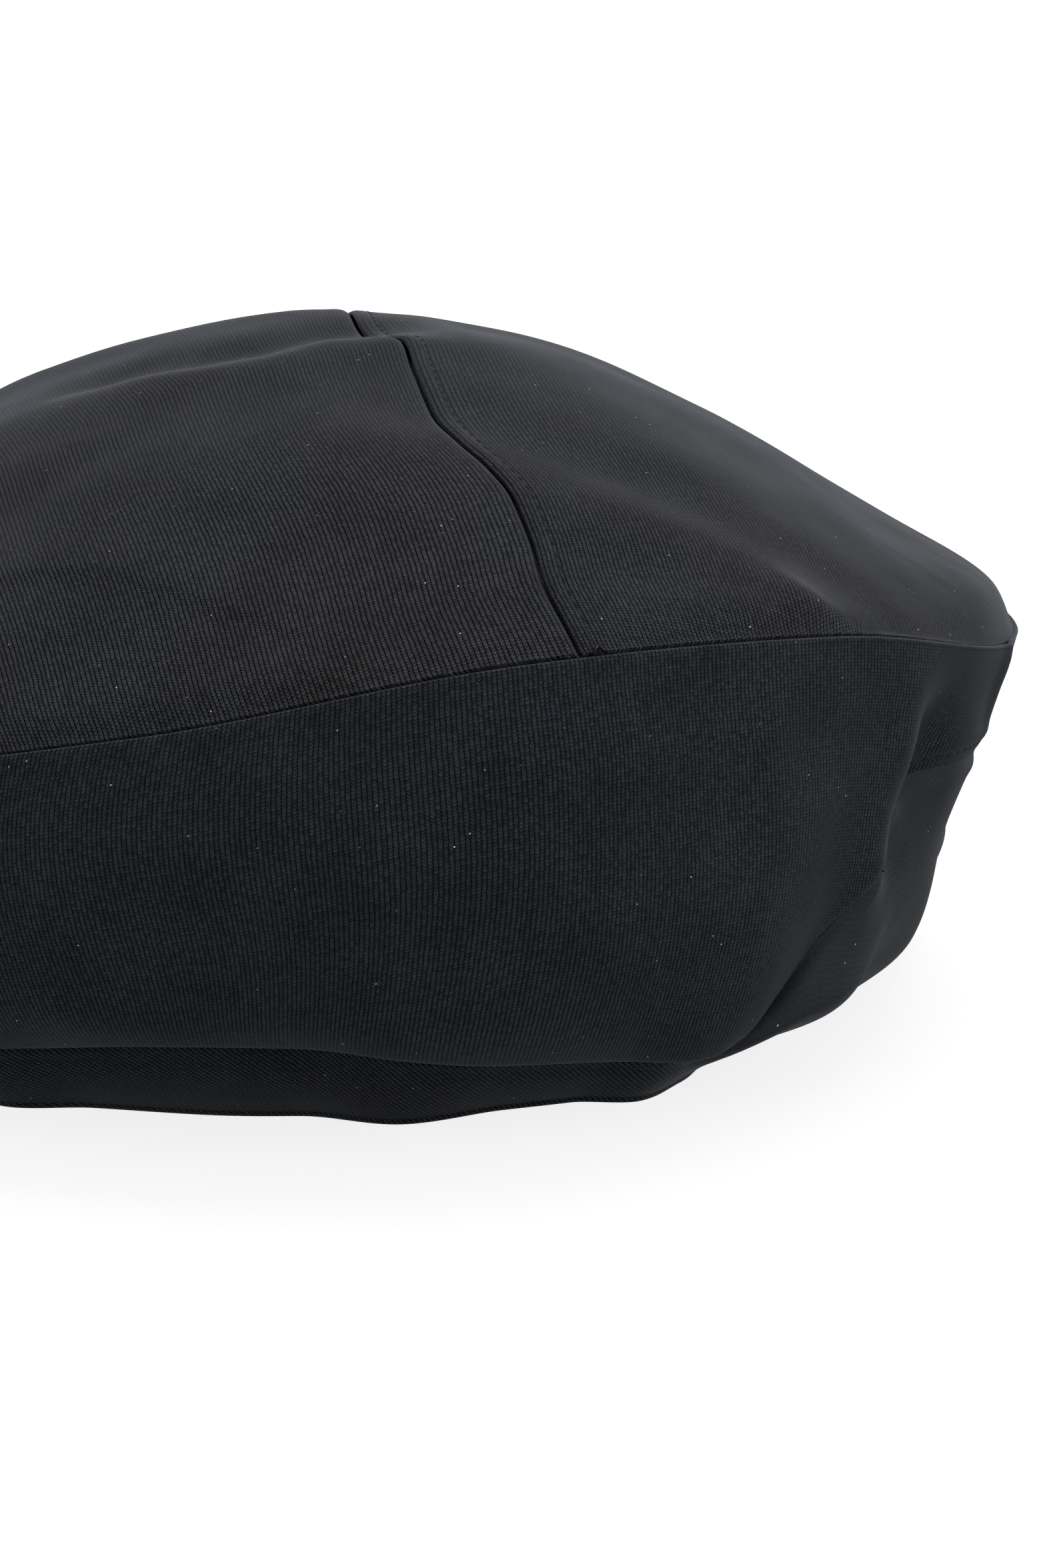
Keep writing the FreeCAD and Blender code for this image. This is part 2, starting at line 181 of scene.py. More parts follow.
# Bumps and hollows of the side: (phi, height z, half width in degrees, half height, depth).
SIDE_BUMPS = [
    (47.0, 54.5, 4.2, 9.5, -5.6), (42.2, 44.0, 2.6, 7.0, -2.4), (47.0, 66.0, 3.0, 8.0, -2.2),
    (38.0, 48.0, 2.6, 12.0, 1.7), (41.0, 64.0, 2.8, 10.0, 1.7), (60.5, 66.0, 1.5, 12.0, 1.3),
    (66.0, 62.0, 4.0, 12.0, -0.8), (74.0, 37.0, 16.0, 23.0, -7.4), (70.0, 28.0, 14.0, 13.0, -2.7),
    (36.0, 13.0, 8.0, 9.0, 4.2), (50.0, 12.0, 13.0, 9.0, 3.0), (64.0, 32.0, 12.0, 12.0, -1.3),
    (-20.0, 40.0, 14.0, 14.0, -0.9), (14.0, 46.0, 16.0, 20.0, 1.1),
    (-52.0, 42.0, 7.0, 22.0, 1.6), (-64.0, 46.0, 5.0, 18.0, -2.0), (-95.0, 50.0, 8.0, 20.0, 2.0),
    (104.0, 48.0, 6.0, 16.0, -2.4), (116.0, 50.0, 5.0, 20.0, 1.8), (150.0, 46.0, 9.0, 22.0, -1.6),
    (172.0, 44.0, 8.0, 20.0, 1.8), (205.0, 50.0, 10.0, 18.0, -1.8), (228.0, 46.0, 7.0, 22.0, 1.7),
]

# ---- fineness of the meshes ----------------------------------------------------------
CROWN_GRID = (260, 124)     # points along the seam and out to the rim
LINING_GRID = (130, 70)
SIDE_COLUMNS = 380
SIDE_ROWS = [(0.14, 5.0, 64), (5.035, 5.97, 26)]    # places s: first, last, count
BAND_COLUMNS = 500
BAND_OUTER_ROWS = (6.03, 10.0, 60)
BAND_INNER_ROWS = (9.8, 7.0, 26)
HANGING_ROWS = 26
THREAD_RINGS, THREAD_SIDES = 6, 6

# ---- colours and camera --------------------------------------------------------------
# The crown, side and band blacks are one jersey, each set lighter or darker to match how it is lit;
# the band's is a darker copy, painted shade for the shade under the sagging side.
CROWN_BLACK = (0.0140, 0.0145, 0.0162)
SIDE_BLACK = (0.0134, 0.0153, 0.0176)
BAND_SHADED_BLACK = (0.0084, 0.0090, 0.0102)
LINING_BLACK = (0.020, 0.020, 0.023)
RIBBON_BLACK = (0.014, 0.014, 0.015)
LABEL_GREY = (0.30, 0.30, 0.29)
THREAD_BLACK = (0.006, 0.006, 0.007)
LINT = (0.5, 0.5, 0.51)
FLOOR_COLOUR = (0.14, 0.14, 0.142)
WARM, COOL = (1.03, 1.0, 0.99), (0.96, 1.01, 1.04)      # tints of the knit's patches
CAMERA = {"azimuth": -15.0, "elevation": 15.0, "distance": 750.0, "lens": 85.0,
          "target": (33.13, -8.88, 38.0)}


# ---- curves --------------------------------------------------------------------------
def cubic(a, b, c, d, t):
    """Catmull-Rom step from b to c."""
    return b + 0.5 * t * ((c - a) + t * (2 * a - 5 * b + 4 * c - d + t * (3 * (b - c) + d - a)))


def ring(values, phi):
    """Value at phi from evenly spaced stations around the hat."""
    v = np.asarray(values, float)
    place = np.asarray(phi, float) / 360.0 * len(v)
    i = np.floor(place).astype(int)
    return cubic(*[v[(i + k) % len(v)] for k in (-1, 0, 1, 2)], place - i)


def monotone(place, value, x):
    """Smooth step between the middle two of four stations, without overshoot."""
    step = [(value[k + 1] - value[k]) / (place[k + 1] - place[k]) for k in range(3)]
    slope = []
    for p, q in zip(step[:2], step[1:]):
        both = p * q > 0
        slope.append(np.where(both, 2 * p * q / np.where(both, p + q, 1.0), 0.0))
    span = place[2] - place[1]
    t = (x - place[1]) / span
    low = (1 + 2 * t) * (1 - t) ** 2 * value[1] + t * (1 - t) ** 2 * span * slope[0]
    return low + t * t * (3 - 2 * t) * value[2] + t * t * (t - 1) * span * slope[1]


def stations(table, phi):
    """Value at phi from uneven (angle, value) stations around the hat."""
    angle, value = np.array(table, float).T
    count = len(angle)
    phi = (np.asarray(phi, float) - angle[0]) % 360.0 + angle[0]
    i = np.searchsorted(angle, phi, side="right") - 1
    places = [i + k for k in (-1, 0, 1, 2)]
    return monotone([angle[p % count] + 360.0 * (p // count) for p in places],
                    [value[p % count] for p in places], phi)


def line(table, x):
    """Value at x from (place, value) stations along a line."""
    place, value = np.array(table, float).T
    place = np.concatenate([[2 * place[0] - place[1]], place, [2 * place[-1] - place[-2]]])
    value = np.concatenate([[value[0]], value, [value[-1]]])
    x = np.clip(x, place[1], place[-2] - 1e-6)
    i = np.searchsorted(place, x, side="right") - 1
    return monotone([place[i + k] for k in (-1, 0, 1, 2)], [value[i + k] for k in (-1, 0, 1, 2)], x)


def section(heights, s):
    """Catmull-Rom down a stack of section stations, at each s."""
    last = len(heights) - 1
    i = np.minimum(s.astype(int), last - 1)
    t = (s - i)[:, None]
    return cubic(*[heights[np.clip(i + k, 0, last)] for k in (-1, 0, 1, 2)], t)


def bell(x):
    """1 at 0, falling away smoothly on both sides."""
    return np.exp(-(x ** 2))


def ramp(x):
    """Smooth step from 0 to 1 around 0."""
    return 1 / (1 + np.exp(-x))


def spread(count, edge):
    """Values from 0 to 1 that crowd towards both ends as edge goes to 1."""
    w = np.linspace(0, 1, count)
    return (1 - edge) * w + edge * (1 - np.cos(math.pi * w)) / 2


def polar(phi, r, z):
    """Points from angles, radii and heights."""
    a = np.radians(phi)
    return np.stack(np.broadcast_arrays(r * np.sin(a), -r * np.cos(a), z), -1)


def swell(points, size, seed):
    """Smooth random waves of about unit height and the given wavelength."""
    count = 14
    rng = np.random.default_rng(seed)
    total = np.zeros(points.shape[:-1])
    for _ in range(count):
        way = rng.normal(size=3)
        way *= 2 * math.pi / (size * rng.uniform(0.7, 1.6) * np.linalg.norm(way))
        total += np.sin(points @ way + rng.uniform(0, 2 * math.pi))
    return total / math.sqrt(count / 2)


def waves(points, table):
    """Sum of several swells: (height, wavelength, seed)."""
    return sum(height * swell(points, size, seed) for height, size, seed in table)


# ---- the shell: side, band and crown -------------------------------------------------
def side_rz(phi, s):
    """Radius and height of the shell at each s (rows) and phi (columns)."""
    rim_z, rim_r = ring(RIM_HEIGHT, phi), ring(RIM_RADIUS, phi)
    hem_r = stations(HEM, phi)
    fold_z = rim_z * stations(FOLD, phi)
    hem_z = HEM_ROLL + HEM_LIFT[2] * bell((phi - HEM_LIFT[0]) / HEM_LIFT[1])
    clear = stations(CLEAR, phi)
    weights = ((1 - clear) ** 2, 2 * clear * (1 - clear), clear ** 2)
    out, z = 0.0, 0.0
    for weight, table in zip(weights, (SAGGING, TURNING, STANDING)):
        outs, zs = [], []
        for j, (share, up) in enumerate(table):
            outs.append(np.full_like(phi, share))
            low, high = (fold_z, rim_z) if j <= S_FOLD else (hem_z, fold_z)
            zs.append(low + (high - low) * up)
        out = out + weight * section(np.array(outs), s)
        z = z + weight * section(np.array(zs), s)
    return hem_r + (rim_r - hem_r) * out, z


def side_push(phi, z):
    """How far the side's bumps and hollows stand out at each phi and height."""
    total = np.zeros(np.broadcast(phi, z).shape)
    for where, height, wide, tall, depth in SIDE_BUMPS:
        off = (phi - where + 180.0) % 360.0 - 180.0
        total += depth * bell(off / wide) * bell((z - height) / tall)
    return total


def push(phi, grid, fade):
    """Moves the shell in and out along its radius: bumps, hollows and slack waves."""
    amount = side_push(phi, grid[..., 2]) + waves(grid, SIDE_WAVES) * fade
    return grid + polar(phi, amount, np.zeros_like(amount))


def seam_profile(away, pull, puff):
    """Cloth drawn in at a seam and puffed out beside it, by the distance away from it."""
    return puff[0] * bell((away - puff[1]) / puff[2]) - pull[0] * bell(away / pull[1])


def rim_at(x, y):
    """Distance from the apex to a plan point and on to the rim, and the rim's height there."""
    dx, dy = x - APEX[0], y - APEX[1]
    reach = np.hypot(dx, dy) + 1e-9
    phi = np.degrees(np.arctan2(x, -y))
    for _ in range(14):
        r = ring(RIM_RADIUS, phi)
        a = np.radians(phi)
        px, py = r * np.sin(a) - APEX[0], -r * np.cos(a) - APEX[1]
        phi = phi + np.degrees(np.arctan2(px * dy - py * dx, px * dx + py * dy))
    return reach, np.hypot(px, py), ring(RIM_HEIGHT, phi)


def fold(x, y, points, height, left, right):
    """A soft fold along a line in plan, fading out at both ends."""
    pts = np.array(points, float)
    runs = np.hypot(*(pts[1:] - pts[:-1]).T)
    total, start = runs.sum(), 0.0
    best = np.full(x.shape, 1e9)
    side = np.zeros(x.shape)
    along = np.zeros(x.shape)
    for a, b, run in zip(pts[:-1], pts[1:], runs):
        ex, ey = (b - a) / run
        t = np.clip((x - a[0]) * ex + (y - a[1]) * ey, 0, run)
        qx, qy = x - a[0] - t * ex, y - a[1] - t * ey
        d = np.hypot(qx, qy)
        near = d < best
        best = np.where(near, d, best)
        side = np.where(near, ex * qy - ey * qx, side)
        along = np.where(near, (start + t) / total, along)
        start += run
    width = np.where(side > 0, left, right)
    fade = np.clip(np.minimum(along, 1 - along) / FOLD_FADE, 0.0, 1.0)
    fade = FOLD_END + (1 - FOLD_END) * fade * fade * (3 - 2 * fade)
    return height * fade * bell(best / width)


def crown_shell(x, y):
    """Height of the crown at a plan point, with its folds and rim roll."""
    reach, full, rim_z = rim_at(x, y)
    power = (CROWN_LEFT + CROWN_RIGHT + (x - APEX[0]) / reach * (CROWN_RIGHT - CROWN_LEFT)) / 2
    z = rim_z + (APEX[2] - rim_z) * (1.0 - (reach / full) ** power)
    for points, height, left, right in CROWN_FOLDS:
        z = z + fold(x, y, points, height, left, right)
    z = z + waves(np.stack([x, y, z], -1), CROWN_WAVES)
    inside = np.maximum(full - reach - CROWN_INSET, 0)
    edge = np.exp(-((inside / EDGE_REACH) ** 1.3))
    return z * (1 - edge) + (rim_z - CROWN_SINK) * edge


def crown_z(x, y):
    """Height of the crown cloth at a plan point, with its seam and stitched allowance."""
    away = x - line(SEAM, y)
    lift = ramp((away - ALLOWANCE[0]) / 0.35) * ramp((ALLOWANCE[1] - away) / 0.5)
    lift = ALLOWANCE_LIFT * (lift - bell((away - CROWN_STITCH_OFF) / 0.5))
    return crown_shell(x, y) + seam_profile(away, CROWN_PULL, CROWN_PUFF) + lift


# ---- meshes --------------------------------------------------------------------------
def normals(grid):
    """Unit normals of a grid of points."""
    n = np.cross(np.gradient(grid, axis=0), np.gradient(grid, axis=1))
    length = np.linalg.norm(n, axis=-1, keepdims=True)
    return n / np.where(length > 1e-9, length, 1.0)


def arc(grid, axis):
    """Distance along one axis of a grid of points, from its first row."""
    steps = np.linalg.norm(np.diff(grid, axis=axis), axis=-1)
    pad = [(1, 0), (0, 0)] if axis == 0 else [(0, 0), (1, 0)]
    return np.pad(np.cumsum(steps, axis=axis), pad)


def mesh_piece(name, verts, faces, uvs, material, slot, nodes):
    """Makes a piece from arrays in millimetres and gives it its body and CAD nodes; slot is not used.
    """
    mesh = bpy.data.meshes.new(name)
    mesh.from_pydata((verts * MM).tolist(), [], faces.tolist())
    if uvs is not None:
        layer = mesh.uv_layers.new(name="cloth")
        layer.data.foreach_set("uv", uvs[faces.ravel()].astype(np.float32).ravel())
    mesh.shade_smooth()
    mesh.materials.append(material)
    piece = bpy.data.objects.new(name, mesh)
    bpy.context.scene.collection.objects.link(piece)
    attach(piece, "root")
    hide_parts(*nodes)
    return piece


def slab(grid, thickness, uv, flip=False):
    """Closed cloth with the grid as its face and its back a thickness behind it."""
    n = normals(grid) * (-1.0 if flip else 1.0)
    rows, cols = grid.shape[:2]
    verts = np.concatenate([grid.reshape(-1, 3), (grid - n * thickness).reshape(-1, 3)])
    index = np.arange(rows * cols).reshape(rows, cols)
    front = np.stack([index[:-1, :-1], index[1:, :-1], index[1:, 1:], index[:-1, 1:]], -1)
    front = front.reshape(-1, 4)
    if flip:
        front = front[:, ::-1]
    back = front[:, ::-1] + rows * cols
    border = np.concatenate([index[0, :], index[1:, -1], index[-1, -2::-1], index[-2:0:-1, 0]])
    after = np.roll(border, -1)
    walls = np.stack([border, after, after + rows * cols, border + rows * cols], -1)
    if flip:
        walls = walls[:, ::-1]
    uvs = np.concatenate([uv.reshape(-1, 2)] * 2)
    return verts, np.concatenate([front, back, walls]), uvs


def tuck(grid, radius, turn=1.0):
    """Adds four rows that curl in behind the end of a grid, to hide the cut edge.

    The sign of turn says on which side of the grid's normals its back is.
    """
    n = normals(grid)[-1]
    ahead = grid[-1] - grid[-2]
    ahead /= np.linalg.norm(ahead, axis=-1, keepdims=True)
    extra = [grid[-1] - turn * n * radius * (1 - math.cos(a)) + ahead * radius * math.sin(a)
             for a in (0.5, 1.0, 1.5)]
    extra.append(extra[-1] - turn * n * radius)
    return np.concatenate([grid, np.array(extra)])


def tuck_start(grid, radius, turn=1.0):
    """The same before the first row."""
    return tuck(grid[::-1], radius, turn)[::-1]


def seam_meets_rim(centre, inset):
    """Angle near the given one at which the crown seam comes to the rim."""
    phi = np.linspace(centre - 20, centre + 20, 801)
    x, y, _ = polar(phi, ring(RIM_RADIUS, phi) - inset, 0.0).T
    miss = x - line(SEAM, y)
    order = np.argsort(miss)
    return float(np.interp(0.0, miss[order], phi[order]))


def crown_plan(side, inset, count_u, count_v):
    """Plan points of half the crown: rows follow the seam, columns go to the rim."""
    front, back = seam_meets_rim(0.0, inset), seam_meets_rim(180.0, inset)
    if side < 0:
        back -= 360.0
    u = np.linspace(0.004, 0.996, count_u)[:, None]
    phi = front + (back - front) * u
    r = ring(RIM_RADIUS, phi) - inset
    rim_x, rim_y = r * np.sin(np.radians(phi)), -r * np.cos(np.radians(phi))
    low, high = [-(float(ring(RIM_RADIUS, end)) - inset) * math.cos(math.radians(end))
                 for end in (front, back)]
    seam_y = low + (high - low) * (1 - np.cos(math.pi * u)) / 2
    seam_x = line(SEAM, seam_y) + side * (SEAM_ROLL + SEAM_GAP)
    v = spread(count_v, 0.88)[None, :]
    return seam_x * (1 - v) + rim_x * v, seam_y * (1 - v) + rim_y * v


def crown_piece(name, side, material):
    """Half of the crown, on the left (side -1) or right (1) of the seam."""
    x, y = crown_plan(side, CROWN_INSET, *CROWN_GRID)
    grid = np.stack([x, y, crown_z(x, y)], -1).transpose(1, 0, 2)
    turn = float(side)
    grid = tuck_start(tuck(grid, CROWN_ROLL, turn), SEAM_ROLL, -turn)
    across = arc(grid, 0)
    follow = (line(SEAM, grid[0, :, 1]) - SEAM_MEAN)[None, :] * (1 - np.exp(-across / SEAM_GRAIN))
    uv = np.stack([side * across + follow, grid[..., 1] * CROWN_SLOPE], -1)
    cloth = slab(grid, CLOTH, uv, flip=side < 0)
    return mesh_piece(name, *cloth, material, "crown_jersey", [name])


def crown_lining(name, side, material):
    """Half of the crown's lining, with its seam beside the crown's."""
    x, y = crown_plan(side, LINING_INSET, *LINING_GRID)
    shift = LINING_SHIFT - side * (SEAM_ROLL + SEAM_GAP - LINING_GAP)
    x = x + shift * bell((x - line(SEAM, y)) / LINING_REACH)
    grid = np.stack([x, y, crown_shell(x, y) - LINING_DROP], -1)
    grid[..., 2] += waves(grid * [1.0, 0.35, 1.0], [LINING_WAVES])
    grid = grid.transpose(1, 0, 2)
    cloth = slab(grid, LINING, grid[..., :2], flip=side < 0)
    return mesh_piece(name, *cloth, material, "lining", [name])


def side_grid(low, high):
    """Grid of one side piece: rolled lip at the rim, wall, fold and stitched lower edge."""
    phi = np.linspace(low, high, SIDE_COLUMNS)
    rim_z, rim_r = ring(RIM_HEIGHT, phi), ring(RIM_RADIUS, phi)
    lip_z = rim_z - LIP - LIP_DROP * (1 - LIP_RISE[2] * bell((phi - LIP_RISE[0]) / LIP_RISE[1]))
    rolls = [polar(phi, rim_r - LIP + LIP * math.cos(a), lip_z + LIP * math.sin(a))
             for a in np.radians(np.linspace(215, 5, 13))]
    s = np.concatenate([np.linspace(*rows) for rows in SIDE_ROWS])
    r, z = side_rz(phi, s)
    z = np.minimum(z, lip_z - 0.05 * np.arange(1, len(s) + 1)[:, None])
    grid = np.concatenate([np.array(rolls), polar(phi[None, :], r, z)])
    down = arc(grid, 0)
    grid = push(phi[None, :], grid, np.clip((down - WAVES_FROM[0]) / WAVES_FROM[1], 0, 1))
    left = down[-1:] - down
    along = np.radians(phi) * SIDE_R
    dimple = 0.55 + 0.45 * np.cos(2 * math.pi * along / STITCH_PITCH)
    amount = seam_profile(left, BAND_PULL, SIDE_PUFF)
    amount -= STITCH_DIMPLE[0] * dimple[None, :] * bell((left - STITCH_UP) / STITCH_DIMPLE[1])
    return phi, grid + normals(grid) * amount[..., None], left


def side_piece(name, low, high, material):
    """One side panel between two joints; returns its angles, grid and distance to the seam."""
    phi, grid, left = side_grid(low, high)
    v = -arc(grid, 0)
    u = np.radians(phi)[None, :] * SIDE_R + waves(grid, [SIDE_DRIFT])
    uv = np.pad(np.stack([u, v], -1), ((0, 4), (4, 4), (0, 0)), mode="edge")
    full = tuck(grid, EDGE_ROLL).transpose(1, 0, 2)
    full = tuck_start(tuck(full, EDGE_ROLL, -1.0), EDGE_ROLL).transpose(1, 0, 2)
    mesh_piece(name, *slab(full, CLOTH, uv), material, "side_jersey", [name])
    return phi, grid, left


def band_piece(material):
    """Bias band folded double: outer layer, rolled hem and inner layer in one cloth."""
    phi = np.linspace(*RING_ENDS, BAND_COLUMNS)
    outer = polar(phi[None, :], *side_rz(phi, np.linspace(*BAND_OUTER_ROWS)))
    r, z = side_rz(phi, np.array([float(S_HEM)]))
    roll = [polar(phi, r[0] - HEM_ROLL * (1 - math.cos(a)), z[0] + HEM_ROLL * math.sin(a))
            for a in np.radians(np.linspace(-18, -180, 10))]
    r, z = side_rz(phi, np.linspace(*BAND_INNER_ROWS))
    inner = polar(phi[None, :], r - 2.0 * HEM_ROLL, z)
    grid = push(phi[None, :], np.concatenate([outer, np.array(roll), inner]), 1.0)
    grid[..., 2] = np.maximum(grid[..., 2], 0.0)
    amount = seam_profile(arc(grid, 0), BAND_PULL, BAND_PUFF)
    grid = tuck_start(grid + normals(grid) * amount[..., None], EDGE_ROLL, -1.0)
    down = arc(grid, 0)
    around = np.radians(phi)[None, :] * BAND_R
    uv = np.stack([(around - down) * BIAS, (-around - down) * BIAS], -1)
    cloth = slab(grid, BAND_CLOTH, uv)
    return mesh_piece("head_band", *cloth, material, "band_jersey", ["head_band"])


def threads(name, starts, ends, ups, material):
    """Short arched stitches whose ends dive into the cloth."""
    run = ends - starts
    across = np.cross(run / np.linalg.norm(run, axis=1, keepdims=True), ups)
    verts, faces = [], []
    for k, (a, d, up, side) in enumerate(zip(starts, run, ups, across)):
        for j in np.linspace(0, 1, THREAD_RINGS):
            centre = a + d * j + up * (THREAD_ARCH * math.sin(math.pi * j) - THREAD_SUNK)
            for i in range(THREAD_SIDES):
                angle = 2 * math.pi * i / THREAD_SIDES
                way = side * math.cos(angle) + up * math.sin(angle)
                verts.append(centre + THREAD_RADIUS * way)
        base = k * THREAD_RINGS * THREAD_SIDES
        for j in range(THREAD_RINGS - 1):
            for i in range(THREAD_SIDES):
                n = (i + 1) % THREAD_SIDES
                row = base + j * THREAD_SIDES
                faces.append([row + i, row + n, row + THREAD_SIDES + n, row + THREAD_SIDES + i])
    return mesh_piece(name, np.array(verts), np.array(faces), None, material, "thread", [name])


def crown_threads(material):
    """Top stitching that holds the seam allowance, just right of the crown seam."""
    y = np.arange(*CROWN_ROW, STITCH_PITCH)
    ends = []
    for at in (y, y + CROWN_STITCH):
        x = line(SEAM, at) + CROWN_STITCH_OFF
        ends.append(np.stack([x, at, crown_z(x, at)], -1))
    step = ends[0] + np.array([0.5, 0, 0])
    step[:, 2] = crown_z(step[:, 0], step[:, 1])
    up = np.cross(step - ends[0], ends[1] - ends[0])
    up /= np.linalg.norm(up, axis=1, keepdims=True)
    return threads("crown_topstitch", *ends, up, material)


def between(x, places, points):
    """Point at x along a row of points."""
    return np.array([np.interp(x, places, points[:, axis]) for axis in range(3)])


def band_threads(panels, material):
    """Stitches in the dimples just above the band seam."""
    starts, ends, ups = [], [], []
    for phi, grid, left in panels:
        row = np.argmin(np.abs(left - STITCH_UP), axis=0)
        cols = np.arange(len(phi))
        points, up = grid[row, cols], normals(grid)[row, cols]
        along = np.radians(phi) * SIDE_R
        first = math.ceil((along[0] + JOIN_MARGIN) / STITCH_PITCH)
        last = math.floor((along[-1] - JOIN_MARGIN) / STITCH_PITCH)
        for k in range(first, last):
            starts.append(between((k - BAND_STITCH) * STITCH_PITCH, along, points))
            ends.append(between((k + BAND_STITCH) * STITCH_PITCH, along, points))
            ups.append(between(k * STITCH_PITCH, along, up))
    return threads("band_topstitch", np.array(starts), np.array(ends), np.array(ups), material)


def hanging(name, ends, count, lower, upper, thickness, height, material, slot):
    """Cloth hung between two edges, each a function giving radius and height at phi."""
    phi = np.linspace(*ends, count)
    k = np.linspace(0, 1, HANGING_ROWS)[:, None]
    (r0, z0), (r1, z1) = lower(phi), upper(phi)
    grid = polar(phi[None, :], r1 + (r0 - r1) * k, z1 + (z0 - z1) * k)
    amount = height * swell(grid * [1.0, 1.0, 0.3], *HANGING_WAVES) * np.sin(math.pi * k) ** 0.5
    grid = grid + polar(phi[None, :], amount, np.zeros_like(amount))
    around = np.broadcast_to(np.radians(phi)[None, :] * BAND_R, amount.shape)
    uv = np.stack([around, -arc(grid, 0)], -1)
    return mesh_piece(name, *slab(grid, thickness, uv), material, slot, [name])


def lining_low(phi):
    """Lower edge of the side lining, at the band's seam."""
    r, z = side_rz(phi, np.array([float(S_SEAM)]))
    return r[0] - LINING_FOOT[0], z[0] + LINING_FOOT[1]


def lining_high(phi):
    """Its upper edge, at the crown's lining."""
    return (ring(RIM_RADIUS, phi) - LINING_INSET + LINING_HEAD[0],
            ring(RIM_HEIGHT, phi) - LINING_HEAD[1])


def ribbon_edge(z, inset=0.0):
    """Edge at one height inside the hem, for the sweatband and the label."""
    return lambda phi: (stations(HEM, phi) - RIBBON_INSET - inset, np.full_like(phi, z))


# ---- materials -----------------------------------------------------------------------
class Graph:
    """Short names for the shader nodes of one material."""

    def __init__(self, name):
        self.material = bpy.data.materials.new(name)
        self.material.use_nodes = True
        self.tree = self.material.node_tree
        self.shader = self.tree.nodes["Principled BSDF"]

    def node(self, kind):
        return self.tree.nodes.new("ShaderNode" + kind)

    def link(self, target, value):
        if isinstance(value, bpy.types.NodeSocket):
            self.tree.links.new(value, target)
        else:
            target.default_value = value

    def set(self, socket, value):
        self.link(self.shader.inputs[socket], value)

    def math(self, operation, *values, clamp=False):
        node = self.node("Math")
        node.operation = operation
        node.use_clamp = clamp
        for target, value in zip(node.inputs, values):
            self.link(target, value)
        return node.outputs[0]

    def plus(self, a, b):
        return self.math("ADD", a, b)

    def minus(self, a, b):
        return self.math("SUBTRACT", a, b)

    def times(self, first, *others):
        for other in others:
            first = self.math("MULTIPLY", first, other)
        return first

    def blend(self, a, b, share):
        """a at share 0 and b at share 1."""
        return self.plus(a, self.times(self.minus(b, a), share))

    def range(self, value, low, high, to_low=0.0, to_high=1.0):
        """Smooth step from to_low to to_high as the value goes from low to high."""
        node = self.node("MapRange")
        node.interpolation_type = "SMOOTHSTEP"
        for target, number in zip(node.inputs[:5], (value, low, high, to_low, to_high)):
            self.link(target, number)
        return node.outputs[0]

    def mix(self, factor, a, b):
        node = self.node("Mix")
        node.data_type = "RGBA"
        self.link(node.inputs["Factor"], factor)
        for key, value in (("A", a), ("B", b)):
            target = next(i for i in node.inputs if i.name == key and i.type == "RGBA")
            self.link(target, value if isinstance(value, bpy.types.NodeSocket) else (*value, 1.0))
        return next(o for o in node.outputs if o.type == "RGBA")

    def noise(self, vector, scale, detail=2.0):
        node = self.node("TexNoise")
        self.link(node.inputs["Vector"], vector)
        node.inputs["Scale"].default_value = scale
        node.inputs["Detail"].default_value = detail
        return node.outputs["Fac"]

    def cloth(self):
        """Place on the cloth in millimetres, and its two parts across and along the grain."""
        node = self.node("UVMap")
        node.uv_map = "cloth"
        split = self.node("SeparateXYZ")
        self.link(split.inputs[0], node.outputs[0])
        return node.outputs[0], split.outputs[0], split.outputs[1]

    def upward(self, low, high):
        """0 where the cloth faces down and 1 where it faces out or up, for painted shade on cloth
        that faces down.
        """
        split = self.node("SeparateXYZ")
        self.link(split.inputs[0], self.node("NewGeometry").outputs["Normal"])
        return self.range(split.outputs[2], low, high)

    def facing(self):
        """0 where the surface faces the eye, towards 1 where it turns away."""
        node = self.node("LayerWeight")
        node.inputs["Blend"].default_value = 0.5
        return node.outputs["Facing"]

    def bump(self, height, distance_mm, strength=1.0):
        node = self.node("Bump")
        node.inputs["Strength"].default_value = strength
        node.inputs["Distance"].default_value = distance_mm * MM
        self.link(node.inputs["Height"], height)
        self.set("Normal", node.outputs[0])


def tinted(colour, factor):
    return tuple(c * factor for c in colour)


def specks(g, cloth, colour):
    """Sparse pale lint caught on the cloth: dots at the middle of some cells."""
    cells = g.node("TexVoronoi")
    g.link(cells.inputs["Vector"], cloth)
    cells.inputs["Scale"].default_value = 0.36
    near = g.range(cells.outputs["Distance"], 0.036, 0.056, 1.0, 0.0)
    chance = g.node("SeparateColor")
    g.link(chance.inputs[0], cells.outputs["Color"])
    shown = g.math("GREATER_THAN", chance.outputs[0], 0.6)
    return g.mix(g.times(near, shown, chance.outputs[1]), colour, LINT)


def stitches(g, cloth, u, v):
    """Height of V-shaped stitches in swaying columns, and a shade that differs by stitch."""
    sway = g.times(g.minus(g.noise(cloth, 0.45), 0.5), 0.36)
    column = g.math("DIVIDE", g.plus(u, sway), WALE)
    off = g.times(g.math("ABSOLUTE", g.minus(g.math("FRACT", column), 0.5)), 2.0)
    leg = g.minus(g.times(off, 1.6), 0.45)
    leg = g.math("SUBTRACT", 1.0, g.times(leg, leg), clamp=True)
    turn = g.minus(g.math("DIVIDE", g.plus(v, sway), COURSE), g.times(off, 0.8))
    wave = g.math("COSINE", g.times(turn, 2 * math.pi))
    height = g.times(leg, g.plus(0.66, g.times(wave, 0.34)))
    cell = g.node("CombineXYZ")
    g.link(cell.inputs[0], g.math("FLOOR", column))
    g.link(cell.inputs[1], g.math("FLOOR", g.math("DIVIDE", v, COURSE)))
    chance = g.node("TexWhiteNoise")
    g.link(chance.inputs["Vector"], cell.outputs[0])
    return height, g.plus(0.70, g.times(chance.outputs["Value"], 0.60))


